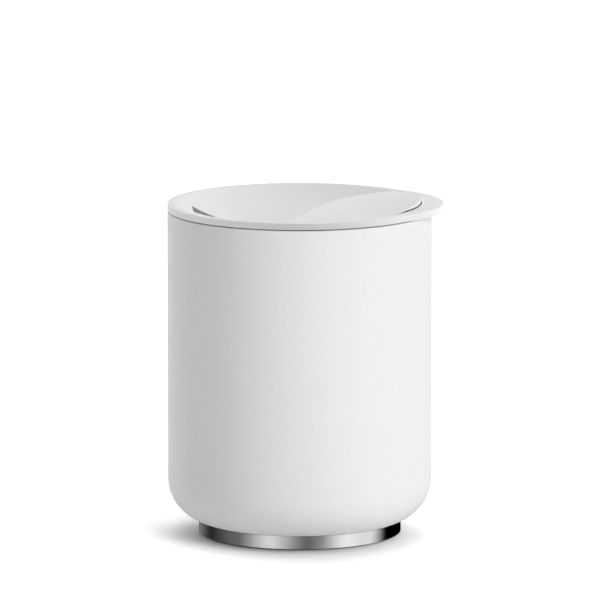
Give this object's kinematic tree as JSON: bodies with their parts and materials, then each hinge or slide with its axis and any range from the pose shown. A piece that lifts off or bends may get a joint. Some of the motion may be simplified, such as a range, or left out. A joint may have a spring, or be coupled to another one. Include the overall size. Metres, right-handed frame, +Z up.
{
  "type": "lidded coffee grounds cup",
  "caption": "Straight round cup with a rounded bottom edge on a polished foot, and a lift-off dished lid with a thumb lip, an opening and a raised leaf, for catching ground coffee.",
  "frame": {"origin": "centre of the foot pad's underside, on the surface that the cup stands on", "axes": "+Z up along the cup's axis, +X towards the lid's thumb lip"},
  "size_m": [0.0877, 0.084, 0.1079],
  "materials": {
    "powder_coat": "matte white powder coat with a fine grain",
    "polished_steel": "mirror polish",
    "grey_silicone": "matte",
    "black_moulding": "matte",
    "nickel_plate": "satin nickel",
    "lid_moulding": "satin white"
  },
  "bodies": {
    "cup": {"cup_shell": "powder_coat", "foot_ring": "polished_steel", "foot_pad": "grey_silicone", "magnet_holder": "black_moulding", "magnet_1": "nickel_plate", "magnet_2": "nickel_plate", "magnet_3": "nickel_plate"},
    "lid": {"lid_cover": "lid_moulding", "swirl_leaf": "lid_moulding", "lid_plug": "lid_moulding", "lid_seal": "grey_silicone"}
  },
  "joints": [
    {"name": "lid_lift", "type": "slide", "parent": "cup", "child": "lid", "axis": [0, 0, 1], "range_m": [0, 0.12]}
  ]
}
